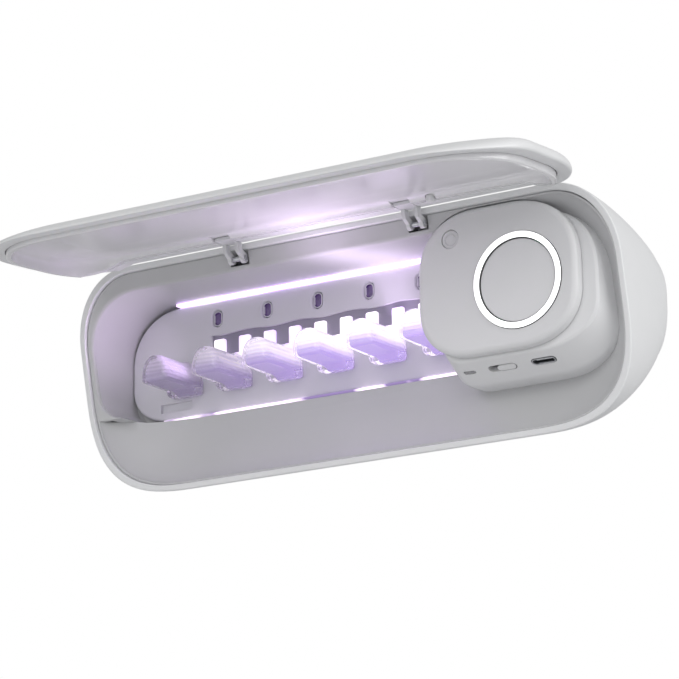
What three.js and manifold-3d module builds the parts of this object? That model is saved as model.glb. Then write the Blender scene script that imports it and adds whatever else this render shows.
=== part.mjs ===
// Wall-mounted toothbrush sanitizer with a lift-up lid. Millimetres, +Z up.
// Origin: centre of the flat back, on the wall. +X right, +Y into the wall; the open lid reaches out along -Y.
import * as THREE from "three";
import { mergeVertices } from "three/addons/utils/BufferGeometryUtils.js";
import Module from "manifold-3d";

const wasm = await Module();
wasm.setup();

// ---- driving dimensions ----
const RIM_Y = -40; // middle of the tilted front rim, out from the wall
const TILT = 0.206; // rim plane leans forward at the top, 11.8 degrees
const CASE_W = 232, CASE_H = 86.7;
const TOP_CORNER = [25.7, 29, 2.12]; // half axes across and up, and roundness power
const LOW_CORNER = [43.3, 42.8, 3];
const WALL = 2.2; // shell wall
const GAP = 0.3; // clearance between neighbouring pieces
const BACK_Y = -0.5; // shell's back face; the wall pad stands 0.5 mm proud of it
const FLOOR_Y = RIM_Y + 24.6; // bottom of the chamber pocket
const PLATE_Y = RIM_Y + 21; // front face of the rack plate
const PITCH = 22.6, FIRST_FINGER = -82.3, FINGERS = 6;
const FINGER_LEN = 24, FINGER_W = 12, FINGER_H = 10.4, FINGER_Z = -2.2;
const FACE_Y = RIM_Y - 7.5; // front of the control cover
const RING_X = 77.3, RING_Z = 9.9, RING_R = 17.5, RING_IN = 15.3;
const PIVOT_Y = RIM_Y - 7.3, PIVOT_Z = 37.2; // lid hinge axis
const CLAW_X = 38.6, CLAW_SHIFT = -1.9; // the two claws sit a little left of centre
const LID_W = 224, LID_L = 75.5, LID_DROOP = 0.061; // the open lid slopes 3.5 degrees to the front
const LID_REAR_Y = RIM_Y - 9.7, LID_SKIRT_Z = 37.4;

// ---- solid helpers ----
const solid = (geometry) => {
  let g = geometry.index ? geometry.toNonIndexed() : geometry.clone();
  g.deleteAttribute("normal");
  g.deleteAttribute("uv");
  g = mergeVertices(g, 1e-4);
  return new wasm.Manifold(new wasm.Mesh({
    numProp: 3,
    vertProperties: new Float32Array(g.attributes.position.array),
    triVerts: new Uint32Array(g.index.array),
  }));
};
const unite = (list) => list.reduce((a, b) => a.add(b));
const cut = (a, ...list) => list.reduce((s, b) => s.subtract(b), a);

// Closed skin through rings of equal length, each a list of [x, y, z], with flat ends.
function loft(rings, flat = (p) => [p[0], p[2]]) {
  const n = rings[0].length, index = [];
  rings.slice(1).forEach((_, r) => {
    for (let i = 0; i < n; i++) {
      const a = r * n + i, b = r * n + ((i + 1) % n);
      index.push(a, b, b + n, a, b + n, a + n);
    }
  });
  const end = (ring, base, turned) => {
    const outline = ring.map((p) => new THREE.Vector2(...flat(p)));
    for (const [a, b, c] of THREE.ShapeUtils.triangulateShape(outline, []))
      index.push(base + a, base + (turned ? b : c), base + (turned ? c : b));
  };
  end(rings[0], 0, false);
  end(rings.at(-1), (rings.length - 1) * n, true);
  const pos = rings.flat(2);
  let volume = 0;
  const v = [0, 1, 2].map(() => new THREE.Vector3());
  for (let i = 0; i < index.length; i += 3) {
    v.forEach((p, k) => p.fromArray(pos, index[i + k] * 3));
    volume += v[0].dot(v[1].clone().cross(v[2]));
  }
  if (volume < 0) index.reverse();
  const g = new THREE.BufferGeometry();
  g.setAttribute("position", new THREE.Float32BufferAttribute(pos, 3));
  g.setIndex(index);
  return solid(g);
}

// Rounded outline in (u, w), anticlockwise; each corner is [half axis across, half axis up, power].
function outline(x0, x1, z0, z1, [tr, tl, bl, br], seg = 10) {
  const pts = [];
  [[x1, z1, -1, -1, tr, 0], [x0, z1, 1, -1, tl, 1], [x0, z0, 1, 1, bl, 0], [x1, z0, -1, 1, br, 1]]
    .forEach(([cx, cz, sx, sz, [a, b, p = 2], swap]) => {
      for (let i = 0; i <= seg; i++) {
        const t = ((swap ? seg - i : i) / seg) * (Math.PI / 2);
        const u = Math.cos(t) ** (2 / p), w = Math.sin(t) ** (2 / p);
        pts.push([cx + sx * a * (1 - u), cz + sz * b * (1 - w)]);
      }
    });
  return pts;
}
const round = (r, p = 2) => [r, r, p];
const rect = (x0, x1, z0, z1, r, seg = 6) => outline(x0, x1, z0, z1, [round(r), round(r), round(r), round(r)], seg);
// Outline prism along Y, from y0 to y1, with list of [y, inset] rings made by shape(inset).
const stack = (shape, levels) => loft(levels.map(([y, inset]) => shape(inset).map(([x, z]) => [x, y, z])));
const block = (x0, x1, y0, y1, z0, z1) =>
  solid(new THREE.BoxGeometry(x1 - x0, y1 - y0, z1 - z0).translate((x0 + x1) / 2, (y0 + y1) / 2, (z0 + z1) / 2));
// Cylinder along Y (or X) between two ends.
const rodY = (x, z, r, y0, y1, seg = 40, r1 = r) =>
  solid(new THREE.CylinderGeometry(r1, r, y1 - y0, seg).translate(0, (y0 + y1) / 2, 0).translate(x, 0, z));
const rodX = (y, z, r, x0, x1, seg = 28) =>
  solid(new THREE.CylinderGeometry(r, r, x1 - x0, seg).rotateZ(Math.PI / 2).translate((x0 + x1) / 2, y, z));
// Profile in (y, z) pushed along X.
const slabX = (pts, x0, x1) =>
  loft([x0, x1].map((x) => pts.map(([y, z]) => [x, y, z])), (p) => [p[1], p[2]]);

// ---- case ----
// Outline of the case at depth share t (0 rim, 1 back), inset all round, moved back by dy.
function caseRing(t, inset, dy = 0, depth = 36.3, seg = 12) {
  const k = 1 - (1 - t ** 1.38) ** (1 / 1.38);
  const side = 2.9 * k + inset, top = 10.9 * k + inset, low = 19.3 * k + inset;
  const fit = Math.min(1, (CASE_H - top - low) / (TOP_CORNER[1] + LOW_CORNER[1] - 0.45 * (top + low)));
  const corner = ([a, b, p], v) => [Math.max(a - side * 0.45, 3), Math.max(b - v * 0.45, 3) * fit, p];
  const tc = corner(TOP_CORNER, top), lc = corner(LOW_CORNER, low);
  const lean = TILT * (1 - t);
  return outline(-CASE_W / 2 + side, CASE_W / 2 - side, -CASE_H / 2 + low, CASE_H / 2 - top, [tc, tc, lc, lc], seg)
    .map(([x, z]) => [x, RIM_Y + t * depth + dy - z * Math.sin(lean), z * Math.cos(lean)]);
}
const DEPTHS = [0.12, 0.25, 0.4, 0.55, 0.7, 0.82, 0.92, 1];
const roundedBack = (inset, depth, r) =>
  [15, 35, 55, 75, 90].map((deg) => {
    const a = (deg * Math.PI) / 180;
    return caseRing(1, inset + r * (1 - Math.cos(a)), r * Math.sin(a), depth);
  });
const SCREWS = [[-96, 20], [-96, -4], [34, 26.5], [34, -11.2]];
const padShape = (e) => rect(-72 + e, 72 - e, -7 + e, 20 - e, 8);

const outer = loft([
  caseRing(0, 0.7, 0), caseRing(0, 0.2, 0.15), caseRing(0, 0, 0.6),
  ...DEPTHS.map((t) => caseRing(t, 0)), ...roundedBack(0, 36.3, 3.2),
]);
const inner = loft([
  caseRing(0, WALL - 0.4, -2), caseRing(0, WALL - 0.4, 0), caseRing(0, WALL, 0.4),
  ...DEPTHS.map((t) => caseRing(t, WALL, 0, 35)), ...roundedBack(WALL, 35, 2.3),
]);
const outer_shell = cut(
  outer, inner,
  stack(padShape, [[BACK_Y - 1, 0], [1, 0]]),
  ...SCREWS.flatMap(([x, z]) => [rodY(x, z, 1.6, -4, 1), rodY(x, z, 3, -1.8, 1)]),
);
const wall_pad = stack(padShape, [[BACK_Y - 0.7, GAP + 0.5], [BACK_Y - 0.4, GAP], [-0.3, GAP], [0, GAP + 0.3]]);

// ---- control unit outlines ----
const coverShape = (e) =>
  outline(36.5 + e, 100.6 - e, -14.3 + e, 39.3 - e, [[27, 24, 2.2], [24, 22, 2.2], [21, 19, 2.2], [24, 20, 2.2]]
    .map(([a, b, p]) => [a - e, b - e, p]), 10);
const baseShape = ([x0, x1, z0, z1], e) =>
  outline(x0 + e, x1 - e, z0 + e, z1 - e, [[27, 26, 2.3], [22, 20, 2.2], [9, 7, 2.2], [26, 17, 2.3]]
    .map(([a, b, p]) => [a - e, b - e, p]), 9);
// Control base sections: [y behind the rim's middle, [left, right, bottom, top], inset].
const BASE = [
  [-3, [44.4, 105.8, -15.2, 35.2], 0.5], [-2.2, [43.8, 106.6, -16, 35.6], 0.1], [7.6, [43.2, 108.6, -21.2, 35.6], 0],
  [9.2, [43.2, 108.8, -21.9, 35.6], 0.1], [21, [43.2, 108.8, -21.9, 35.6], 0.4],
];
const baseBlock = (e, front = 0, extra = 0) =>
  loft(BASE.map(([y, s, i], n) => baseShape(s, i + e)
    .map(([x, z]) => [x, RIM_Y + y + (n === 0 ? front : n === BASE.length - 1 ? extra : 0), z])));
// Port row on the sloping underside: prisms stand along the slope's normal.
const SLOPE = 61.5, PORT_Y = RIM_Y + 1.9, PORT_Z = -18.05;
const onSlope = (piece, x) => piece.rotate([SLOPE, 0, 0]).translate([x, PORT_Y, PORT_Z]);
const slot = (w, h, y0, y1, e = 0) =>
  stack((i) => rect(-w / 2 + i, w / 2 - i, -h / 2 + i, h / 2 - i, h / 2 - i - 0.01, 5), [[y0, e], [y1, e]]);

// ---- inner tray ----
const pocketShape = (e, x1 = 60) =>
  outline(-111.3 + e, x1, -13, 33.5, [round(2), [24 - e / 2, 22, 2.2], [15 - e / 2, 10, 2.2], round(2)], 10);
const POCKET = [[-16, 0], [-1, 0], [3, 0.3], [8, 0.9], [13, 1.7], [17, 2.2], [21, 2.5], [23.6, 2.8], [24.6, 3.8]];
const pocket = stack((e) => pocketShape(e), POCKET.map(([y, e]) => [RIM_Y + y, e]));
const pocketWall = stack(
  (e) => outline(-113.1 + e, 61.8, -14.8, 35.2, [round(3), [25 - e / 2, 23, 2.2], [16 - e / 2, 11, 2.2], round(3)], 10),
  POCKET.map(([y, e], i) => [RIM_Y + (i ? y : -8) + (y > 22 ? 1.8 : 0), e]),
);
// Scoop below the rack: [inset from the rim, depth behind the rim plane].
const SCOOP = [[3.1, -3], [3.1, 1.2], [4.2, 3.2], [6.4, 5.6], [9.4, 8], [13.6, 10.6], [19, 13.2], [24.5, 15.2], [29, 16.4]];
const scoopLoft = (e, dy) => loft(SCOOP.map(([i, d]) => caseRing(0, i - e, d + dy)));
const scoopZone = unite([block(-130, 70, -80, 0, -50, -12.4), block(60, 130, -80, 0, -50, 50)]);
const caseInside = (inset, front) => loft([caseRing(0, inset, front),
  ...DEPTHS.map((t) => caseRing(t, inset, 0, 35)), ...roundedBack(inset, 35, 2.3)]);
const trayShell = caseInside(WALL + GAP, 1.5);
const trayHollow = caseInside(WALL + GAP + 1.8, 3.5);
const backLimit = block(-130, 130, -80, FLOOR_Y + 1.8, -60, 60);
const clawSlots = [-CLAW_X, CLAW_X].map((x) => x + CLAW_SHIFT).map((x) => block(x - 4.2, x + 4.2, RIM_Y - 14, RIM_Y + 1.5, 35, 45));
const bosses = SCREWS.map(([x, z]) => rodY(x, z, 3.4, FLOOR_Y + 1, -3.1, 24));
const front_tray = cut(
  unite([
    trayShell.subtract(trayHollow).intersect(block(-130, 130, -80, RIM_Y + 11, -60, 60)),
    pocketWall.add(scoopLoft(1.8, 1.4).intersect(scoopZone))
      .intersect(trayShell).intersect(backLimit),
    ...bosses.map((boss) => boss.intersect(trayShell)),
  ]),
  pocket, scoopLoft(0, 0).intersect(scoopZone), baseBlock(-GAP, -3, 6),
  stack(coverShape, [[RIM_Y - 12, -GAP], [RIM_Y - 2.7, -GAP]]),
  ...clawSlots, ...SCREWS.map(([x, z]) => rodY(x, z, 1.5, -14, 0, 24)),
);

// ---- rack ----
const RACK_END = 42.7;
const plateShape = (e) =>
  outline(-108.3 + e, RACK_END - e, -11.6 + e, 31.8 - e, [round(1.5), [22, 21, 2.1], [17, 13, 2.1], round(1.5)], 10);
const RECESS_X = -72, RECESS_LOW = 5.2;
// Recess behind the fingers; its upper edge waves once per finger.
const recess = () => {
  const top = [];
  for (let i = 0; i <= 44; i++) {
    const x = RACK_END + 1 + (RECESS_X - RACK_END - 1) * (i / 44);
    top.push([x, 18.85 + 0.35 * Math.cos(((x - FIRST_FINGER - 4.2) / PITCH) * 2 * Math.PI)]);
  }
  const ring = [...top, [RECESS_X, RECESS_LOW], [RACK_END + 1, RECESS_LOW]];
  return loft([PLATE_Y - 1, PLATE_Y + 1.3].map((y) => ring.map(([x, z]) => [x, y, z])));
};
const LAMPS = [0, 1, 2, 3, 4].map((i) => FIRST_FINGER + 13 + i * PITCH);
const LAMP_Z = 25.15;
const lampHole = (x, e, y0, y1) =>
  stack((i) => rect(x - 2.2 + i, x + 2.2 - i, LAMP_Z - 3.2 + i, LAMP_Z + 3.2 - i, 2.1 - i, 6), [[y0, e], [y1, e]]);
const rack_plate = cut(
  stack(plateShape, [[PLATE_Y, 0.7], [PLATE_Y + 0.2, 0.2], [PLATE_Y + 0.7, 0], [PLATE_Y + 2.2, 0]]),
  recess(),
  ...LAMPS.map((x) => lampHole(x, 0, PLATE_Y - 1, PLATE_Y + 3)),
  ...LAMPS.map((x) => stack((i) => rect(x - 2.8 + i, x + 2.8 - i, LAMP_Z - 3.8 + i, LAMP_Z + 3.8 - i, 2.7 - i, 6),
    [[PLATE_Y - 0.5, -0.5], [PLATE_Y + 0.7, 0.7]])),
  block(-95.5, -81, PLATE_Y - 1, PLATE_Y + 1.2, -8.6, -5.2),
);
const tabs = [];
for (let i = 1; i <= 10; i++) {
  const x = FIRST_FINGER + 2.9 + i * (PITCH / 2);
  tabs.push(stack((e) => rect(x - 2.45 + e, x + 2.45 - e, 7, 16.7 - e, 0.6, 2),
    [[PLATE_Y - 0.4, 0.3], [PLATE_Y, 0], [PLATE_Y + 1, 0]]));
}
const comb_rail = unite([block(RECESS_X + GAP, RACK_END - 0.4, PLATE_Y + 0.1, PLATE_Y + 1, RECESS_LOW + GAP, 10.5), ...tabs]);
const fingerShape = (x, e, drop) =>
  outline(x - FINGER_W / 2 + e, x + FINGER_W / 2 - e, FINGER_Z + e - drop, FINGER_Z + FINGER_H - e,
    [[5.4 - e, 8.6 - 1.6 * e, 2.1], [5.4 - e, 8.6 - 1.6 * e, 2.1], round(1.1 - e * 0.4), round(1.1 - e * 0.4)], 5);
const FINGER = [[0, 1.9, 0], [0.35, 1, 0], [1.1, 0.35, 0], [2.4, 0, 0], [16.8, 0, 0.2], [18.2, -0.5, 0.8],
  [19.4, -0.8, 1.1], [FINGER_LEN - 1.1, -0.9, 1.2], [FINGER_LEN - 0.5, -0.5, 1.2]];
const finger = (x) => loft(FINGER.map(([v, e, drop]) =>
  fingerShape(x, e, drop).map(([px, pz]) => [px, PLATE_Y - FINGER_LEN + v, pz])));
const uv_board = cut(
  stack((e) => outline(-104 + e, RACK_END - e, -9 + e, 30 - e, [round(1), round(18), round(9), round(1)], 6),
    [[PLATE_Y + 2.5, 0], [PLATE_Y + 3.3, 0]]));
const strip = (x0, x1, z0, z1) => stack((e) => rect(x0 + e, x1 - e, z0 + e, z1 - e, 0.15, 2),
  [[PLATE_Y - 1.9, 0.25], [PLATE_Y - 1.6, 0], [PLATE_Y + 1.2, 0]]);

// ---- control unit ----
const holeY = (r, y0, y1) => rodY(RING_X, RING_Z, r, y0, y1, 64);
const SENSOR = [50.4, 29.2];
const control_cover = cut(
  stack(coverShape, [[FACE_Y, 2.4], [FACE_Y + 0.16, 1.5], [FACE_Y + 0.5, 0.75], [FACE_Y + 1, 0.25], [FACE_Y + 1.7, 0],
    [FACE_Y + 4.2, 0]]),
  stack(coverShape, [[FACE_Y + 1.8, 1.8], [FACE_Y + 6, 1.8]]),
  holeY(RING_R + 0.25, FACE_Y - 2, FACE_Y + 6), rodY(...SENSOR, 3.7, FACE_Y - 2, FACE_Y + 6),
);
const light_ring = cut(
  unite([rodY(RING_X, RING_Z, RING_R, FACE_Y - 0.2, FACE_Y + 2.9, 64),
    rodY(RING_X, RING_Z, RING_R - 0.25, FACE_Y - 0.5, FACE_Y - 0.1, 64)]),
  holeY(RING_IN, FACE_Y - 2, FACE_Y + 6));
const ring_led_board = cut(holeY(17.2, FACE_Y + 3.2, FACE_Y + 4), holeY(9, FACE_Y + 2, FACE_Y + 5));
const power_button = unite([
  rodY(RING_X, RING_Z, RING_IN - 0.3, FACE_Y + 0.2, FACE_Y + 2, 64),
  rodY(RING_X, RING_Z, RING_IN - 0.3, FACE_Y, FACE_Y + 0.2, 64),
  rodY(RING_X, RING_Z, 8.2, FACE_Y + 1.9, FACE_Y + 2.9, 40),
  rodY(RING_X, RING_Z, 2.4, FACE_Y + 2.8, RIM_Y - 1.7, 32)]);
const sensor_lens = rodY(...SENSOR, 3.4, FACE_Y + 0.35, FACE_Y + 3.4, 40);
const control_base = cut(
  baseBlock(0),
  block(0, 200, RIM_Y + 20, 0, -50, 50),
  loft(BASE.map(([y, s, i], n) => baseShape(s, i + 1.9).map(([x, z]) => [x, RIM_Y + y + (n ? 2.2 : 1.6) * (n < 2) + (n === 4 ? 3 : 0) + (n === 2 || n === 3 ? 1.6 : 0), z]))),
  holeY(4, RIM_Y - 6, RIM_Y + 2),
  onSlope(slot(11.4, 3.3, -6, 6), 65.1), onSlope(slot(9.9, 3.5, -6, 6), 81.6), onSlope(slot(5, 1.7, -6, 6), 51.7),
);
const main_board = stack((e) => rect(50 + e, 101 - e, -9 + e, 29 - e, 11), [[RIM_Y + 6.2, 0], [RIM_Y + 7.8, 0]]);
const button_switch = unite([
  block(RING_X - 3, RING_X + 3, RIM_Y + 2.4, RIM_Y + 5.9, RING_Z - 3, RING_Z + 3), rodY(RING_X, RING_Z, 1.7, RIM_Y - 0.6, RIM_Y + 2.6, 24)]);
const usb_socket = onSlope(cut(slot(9.2, 2.9, -0.2, 5.4), slot(8.5, 2.2, -1, 4.9)), 81.6)
  .add(onSlope(block(-3.2, 3.2, 0.9, 5.2, -0.35, 0.35), 81.6));
const mode_switch = onSlope(unite([slot(7.2, 2.4, -0.3, 0.9), block(-2, 2, 0.7, 3.4, -0.8, 0.8)]), 65.1 + 1.7);
const status_light = onSlope(slot(4.4, 1.1, 0.1, 3), 51.7);
const battery_cell = stack((e) => rect(-86 + e, -26 - e, -9 + e, 27 - e, 3),
  [[FLOOR_Y + 2.4, 0.8], [FLOOR_Y + 3, 0], [-4, 0], [-3.4, 0.8]]);

// ---- lid, drawn lying flat: v forward of its rear edge, w up from the skirt's lower edge ----
const CENTRE_V = LID_L / 2;
const lidShape = (e) => outline(-LID_W / 2 + e, LID_W / 2 - e, e, LID_L - e,
  [[35.5, 32], [35.5, 32], [21, 30], [21, 30]].map(([a, b]) => [a - e * 0.85, b - e * 0.85, 2.05]), 11);
// The lid's edge thins towards its front and its left end; 24 mm in from the edge it has its full thickness.
const ease = (low, high, u) => THREE.MathUtils.smoothstep(u, low, high);
const thinned = (x, v, w, e) =>
  w * (1 - 0.6 * Math.max(ease(46, 74, v), 0.75 * ease(60, 108, -x) * ease(10, 34, v)) * Math.max(0, 1 - e / 24));
const lidStack = (levels) =>
  loft(levels.map(([w, e]) => lidShape(e).map(([x, v]) => [x, -v, thinned(x, v, w, e)])), (p) => [p[0], -p[1]]);
const place = (piece) =>
  piece.rotate([(LID_DROOP * 180) / Math.PI, 0, 0]).translate([0, LID_REAR_Y, LID_SKIRT_Z]);
// The rear wall is low where it passes over the case, fades out towards the corners, and is notched for the claws.
const rearOpening = (v) => unite([
  loft([1, -v].map((y) => [[-103, -3], [103, -3], [103, 0], [86, 4.9], [-86, 4.9], [-103, 0]].map(([x, w]) => [x, y, w]))),
  ...[-CLAW_X, CLAW_X].map((x) => x + CLAW_SHIFT).map((x) => block(x - 3.9, x + 3.9, -v, 1, -3, 6.45)),
]);
const pegRod = (r, low, high) => rodY(0, 0, r, low, high, 16).rotate([90, 0, 0]).translate([49.1, -8.2, 3.6]);
const lid_cover = place(cut(
  lidStack([[3.1, 0.9], [3.3, 0.4], [3.9, 0], [4.8, 0], [6, 0.4], [7.1, 1.3], [8, 2.9], [8.7, 5.6], [9.1, 9.6], [9.3, 16], [9.3, 24]]),
  lidStack([[2, 4.9], [6.9, 4.9], [7.4, 6], [8, 8], [8, 24]]),
  rearOpening(5.4),
));
const lid_liner = place(cut(
  lidStack([[0, 5.9], [0.25, 5.4], [0.8, 5.2], [6.7, 5.2], [7.6, 7.4], [7.6, 24]]),
  lidStack([[-1, 6.7], [0.2, 6.9], [4.4, 7.6], [5.8, 8.8], [6.5, 11], [6.5, 24]]),
  rearOpening(13),
  pegRod(1.9, -4, 2.85),
));
const lid_peg = place(pegRod(1.6, 0, 2.6));

// ---- hinge: forked claws turn on short pins held in the band's slots ----
const PRONG = [[-12.4, 43.2], [-12.4, 40.4], [-11.6, 38.6], [-9.3, 37.2]];
const EYE = 1.9;
const clawSide = () => {
  const pts = PRONG.map(([y, z]) => [RIM_Y + y, z]);
  for (let a = 190; a <= 420; a += 23) {
    const t = (a * Math.PI) / 180;
    pts.push([PIVOT_Y + EYE * Math.cos(t), PIVOT_Z + EYE * Math.sin(t)]);
  }
  return [...pts, [RIM_Y - 9.6, 39.9], [RIM_Y - 9.8, 43.2]];
};
const claw = (x) => cut(
  unite([slabX(clawSide(), x - 3.4, x - 1.9), slabX(clawSide(), x + 1.9, x + 3.4),
    block(x - 3.4, x + 3.4, RIM_Y - 17.5, RIM_Y - 9.9, 42, 43.2)]),
  rodX(PIVOT_Y, PIVOT_Z, 1.05, x - 6, x + 6),
);
const pin = (x) => rodX(PIVOT_Y, PIVOT_Z, 1, x - 3.9, x + 3.9);
const screw = ([x, z]) => unite([rodY(x, z, 2.6, -1.6, -0.6, 24, 2.2), rodY(x, z, 1.25, -11, -1.5, 16)]);

// ---- the object ----
const PLASTIC = { white: ["#ecedee", 0.32, 0], tray: ["#dcdde0", 0.45, 0], panel: ["#e7e7ea", 0.3, 0],
  rack: ["#dad8de", 0.5, 0], clear: ["#f1ecfa", 0.08, 0], glow: ["#ffffff", 0.4, 0], lens: ["#6d6a74", 0.15, 0],
  rubber: ["#8d8f93", 0.8, 0], board: ["#23603d", 0.6, 0.1], steel: ["#b9bcc1", 0.3, 0.9], foil: ["#9fb0c4", 0.4, 0.5] };
const group = new THREE.Group();
group.name = "toothbrush_sanitizer";
function add(name, piece, look) {
  const mesh = piece.getMesh(), pos = new Float32Array(mesh.numVert * 3);
  for (let i = 0; i < mesh.numVert; i++)
    pos.set(mesh.vertProperties.subarray(i * mesh.numProp, i * mesh.numProp + 3), i * 3);
  const g = new THREE.BufferGeometry();
  g.setAttribute("position", new THREE.BufferAttribute(pos, 3));
  g.setIndex([...mesh.triVerts]);
  g.computeVertexNormals();
  const [color, roughness, metalness] = PLASTIC[look];
  const node = new THREE.Mesh(g, new THREE.MeshStandardMaterial({ color, roughness, metalness }));
  node.name = name;
  group.add(node);
}
add("outer_shell", outer_shell, "white");
add("wall_pad", wall_pad, "rubber");
add("front_tray", front_tray, "tray");
add("rack_plate", rack_plate, "rack");
add("comb_rail", comb_rail, "clear");
for (let i = 0; i < FINGERS; i++) add(`brush_finger_${i + 1}`, finger(FIRST_FINGER + i * PITCH), "clear");
LAMPS.forEach((x, i) => add(`uv_lamp_${i + 1}`, lampHole(x, GAP, PLATE_Y + 0.9, PLATE_Y + 2.2), "lens"));
add("uv_board", uv_board, "board");
add("upper_light_strip", strip(-87, RACK_END - 0.5, 32.1, 33.2), "glow");
add("lower_light_strip", strip(-93, RACK_END - 0.5, -12.75, -11.9), "glow");
add("control_base", control_base, "white");
add("control_cover", control_cover, "white");
add("light_ring", light_ring, "glow");
add("power_button", power_button, "white");
add("ring_led_board", ring_led_board, "board");
add("sensor_lens", sensor_lens, "lens");
add("main_board", main_board, "board");
add("button_switch", button_switch, "steel");
add("charging_socket", usb_socket, "steel");
add("mode_switch", mode_switch, "white");
add("status_light", status_light, "lens");
add("battery_cell", battery_cell, "foil");
add("lid_cover", lid_cover, "white");
add("lid_liner", lid_liner, "panel");
add("lid_peg", lid_peg, "white");
[["left", -CLAW_X], ["right", CLAW_X]].forEach(([side, x]) => {
  add(`hinge_claw_${side}`, claw(x + CLAW_SHIFT), "white");
  add(`hinge_pin_${side}`, pin(x + CLAW_SHIFT), "steel");
});
SCREWS.forEach((at, i) => add(`case_screw_${i + 1}`, screw(at), "steel"));

export default group;
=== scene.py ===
import math
import bmesh
import bpy
import numpy as np
from mathutils import Matrix, Vector


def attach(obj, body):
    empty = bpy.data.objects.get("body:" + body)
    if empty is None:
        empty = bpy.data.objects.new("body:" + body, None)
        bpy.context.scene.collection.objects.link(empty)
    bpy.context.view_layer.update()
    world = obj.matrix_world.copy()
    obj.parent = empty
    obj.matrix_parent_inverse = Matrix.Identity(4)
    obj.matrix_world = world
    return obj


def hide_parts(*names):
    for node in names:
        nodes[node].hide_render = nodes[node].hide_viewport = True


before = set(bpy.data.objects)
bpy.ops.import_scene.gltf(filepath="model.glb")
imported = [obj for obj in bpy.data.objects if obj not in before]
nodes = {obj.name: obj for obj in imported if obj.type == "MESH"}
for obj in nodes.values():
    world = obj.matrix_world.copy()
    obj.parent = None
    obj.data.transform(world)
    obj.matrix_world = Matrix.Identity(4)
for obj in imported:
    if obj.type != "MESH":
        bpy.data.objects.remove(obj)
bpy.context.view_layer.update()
scene = bpy.context.scene
MM = 0.001

# ---- Camera ----
# The eye sits below and to the right of the case and looks up into the open chamber through a long
# lens, so the tilted rim, the underside of the lid and the port slope all show.
LOOK_RIGHT = Vector((0.84524, 0.53410, -0.01742))
LOOK_UP = Vector((0.14921, -0.20458, 0.96741))
CAMERA_AT = Vector((622.819, -1037.789, -305.335)) * MM
lens = bpy.data.cameras.new("camera")
lens.lens = 177.48
lens.sensor_width = 36
lens.clip_end = 10
camera = bpy.data.objects.new("camera", lens)
scene.collection.objects.link(camera)
look_back = LOOK_RIGHT.cross(LOOK_UP)
camera.matrix_world = Matrix([
    (LOOK_RIGHT[i], LOOK_UP[i], look_back[i], CAMERA_AT[i]) for i in range(3)] + [(0, 0, 0, 1)])
scene.camera = camera

# ---- Studio ----
# A white surround, a pale floor well below the wall-hung case, and three soft panels: a broad one
# from the right for the bright side of the case, one in front and a weak one from below left. Three
# small violet washes inside the case stand for the light that its tray and lid bounce about.
scene.view_settings.view_transform = "Standard"
surround = bpy.data.worlds.new("studio_surround")
scene.world = surround
surround.use_nodes = True
studio = surround.node_tree
studio.nodes.clear()
white_wall = studio.nodes.new("ShaderNodeBackground")
white_wall.inputs["Color"].default_value = (1, 1, 1, 1)
room_light = studio.nodes.new("ShaderNodeBackground")
room_light.inputs["Color"].default_value = (0.98, 0.985, 1, 1)
room_light.inputs["Strength"].default_value = 0.30
eye_or_light = studio.nodes.new("ShaderNodeLightPath")
pick_wall = studio.nodes.new("ShaderNodeMixShader")
surround_out = studio.nodes.new("ShaderNodeOutputWorld")
seen_or_mirrored = studio.nodes.new("ShaderNodeMath")
seen_or_mirrored.operation = "MULTIPLY_ADD"
seen_or_mirrored.use_clamp = True
seen_or_mirrored.inputs[1].default_value = 0.45
studio.links.new(eye_or_light.outputs["Is Glossy Ray"], seen_or_mirrored.inputs[0])
studio.links.new(eye_or_light.outputs["Is Camera Ray"], seen_or_mirrored.inputs[2])
studio.links.new(seen_or_mirrored.outputs[0], pick_wall.inputs[0])
studio.links.new(room_light.outputs[0], pick_wall.inputs[1])
studio.links.new(white_wall.outputs[0], pick_wall.inputs[2])
studio.links.new(pick_wall.outputs[0], surround_out.inputs["Surface"])
PANELS = {
    "right_panel": ((1.5, -0.25, 0.6), (1.3, 1.3), 14.5),
    "front_panel": ((0.15, -1.5, 0.45), (1.7, 0.9), 7.5),
    "low_left_panel": ((-0.7, -0.9, -0.75), (1.2, 1.0), 5),
}
for panel_name, (at, (wide, high), watts) in PANELS.items():
    panel_light = bpy.data.lights.new(panel_name, "AREA")
    panel_light.shape = "RECTANGLE"
    panel_light.size, panel_light.size_y, panel_light.energy = wide, high, watts
    panel = bpy.data.objects.new(panel_name, panel_light)
    panel.location = at
    panel.rotation_euler = (-Vector(at)).to_track_quat("-Z", "Y").to_euler()
    scene.collection.objects.link(panel)
WASHES = {
    "roof_wash": ((0.004, -0.036, 0.014), (0.08, 0.012), (0.1, -0.05, 1), 0.0085, (0.88, 0.70, 1)),
    "left_wash": ((-0.07, -0.036, 0.012), (0.02, 0.02), (-1, -0.3, 0.1), 0.0045, (0.86, 0.66, 1)),
    "lid_wash": ((0.0, -0.0475, -0.004), (0.07, 0.006), (0.12, -0.85, 0.75), 0.0095, (0.88, 0.66, 1)),
}
for wash_name, (at, (wide, high), aim, watts, tint) in WASHES.items():
    wash_light = bpy.data.lights.new(wash_name, "AREA")
    wash_light.shape = "RECTANGLE"
    wash_light.spread = math.radians(115)
    wash_light.size, wash_light.size_y, wash_light.energy, wash_light.color = wide, high, watts, tint
    wash = bpy.data.objects.new(wash_name, wash_light)
    wash.location = at
    wash.rotation_euler = Vector(aim).to_track_quat("-Z", "Y").to_euler()
    wash.visible_camera = wash.visible_glossy = False
    scene.collection.objects.link(wash)
floor_mesh = bpy.data.meshes.new("studio_floor")
floor_mesh.from_pydata([(-3, -3, -0.55), (3, -3, -0.55), (3, 3, -0.55), (-3, 3, -0.55)], [], [(0, 1, 2, 3)])
studio_floor = bpy.data.objects.new("studio_floor", floor_mesh)
scene.collection.objects.link(studio_floor)
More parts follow.
